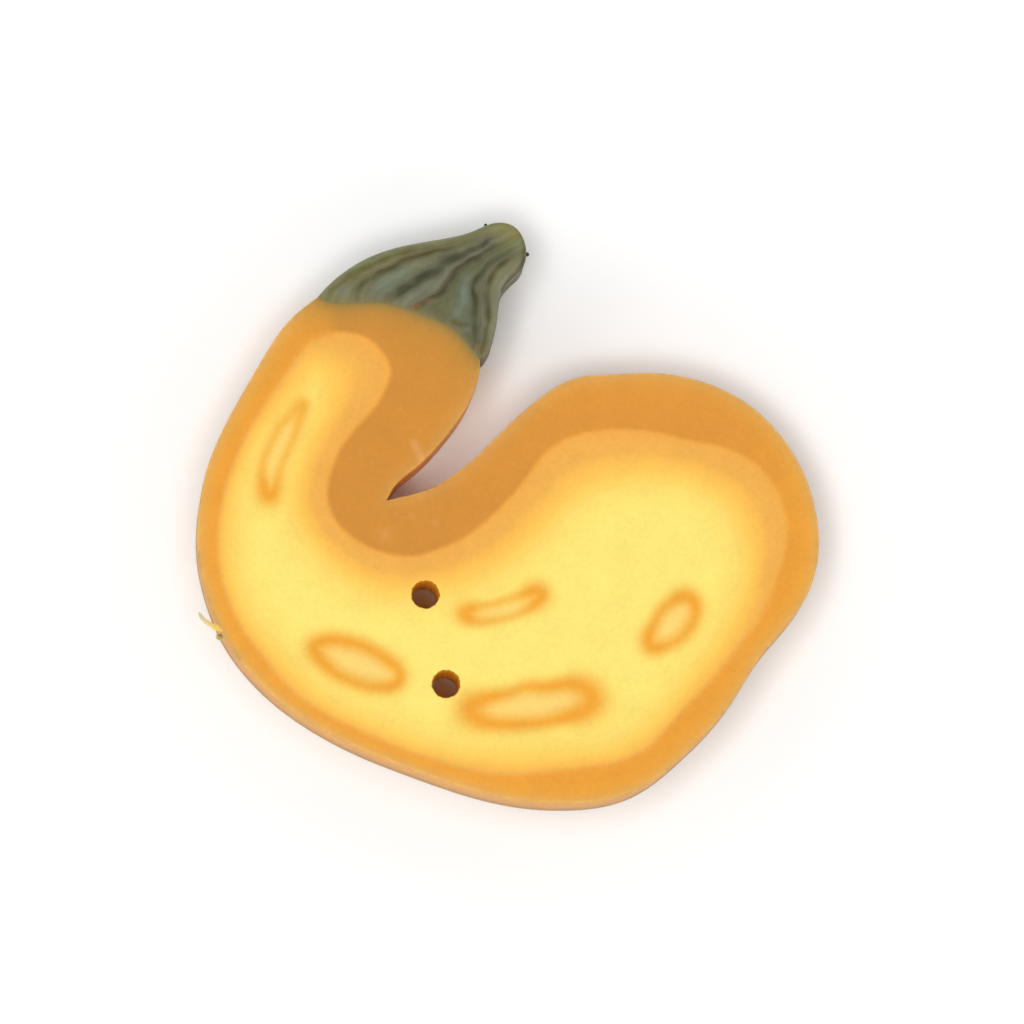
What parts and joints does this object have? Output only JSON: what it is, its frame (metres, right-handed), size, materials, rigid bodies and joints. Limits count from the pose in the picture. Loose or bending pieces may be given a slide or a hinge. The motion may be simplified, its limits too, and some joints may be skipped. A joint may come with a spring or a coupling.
{
  "type": "squash-shaped clay button",
  "caption": "Flat baked-clay sewing button shaped like a crookneck squash, with a curved neck, a round bulb, a green stem cap and sewing holes through the middle.",
  "frame": {"origin": "middle of the outline's box, on the flat back", "axes": "+Z out of the patterned face, +Y from the underside of the squash towards the stem tip, +X from the back of the neck to the end of the bulb"},
  "size_m": [0.0262, 0.0246, 0.0032],
  "materials": {
    "amber_clay": "baked polymer clay, satin: amber rind shading through peach to a pale yellow core, with amber seed rings, the same pattern right through the slice",
    "stem_clay": "baked polymer clay, satin: dark olive with grey-green and brown stripes that run together towards the stem tip"
  },
  "bodies": {
    "root": {"squash_body": "amber_clay", "stem_cap": "stem_clay"}
  },
  "joints": []
}
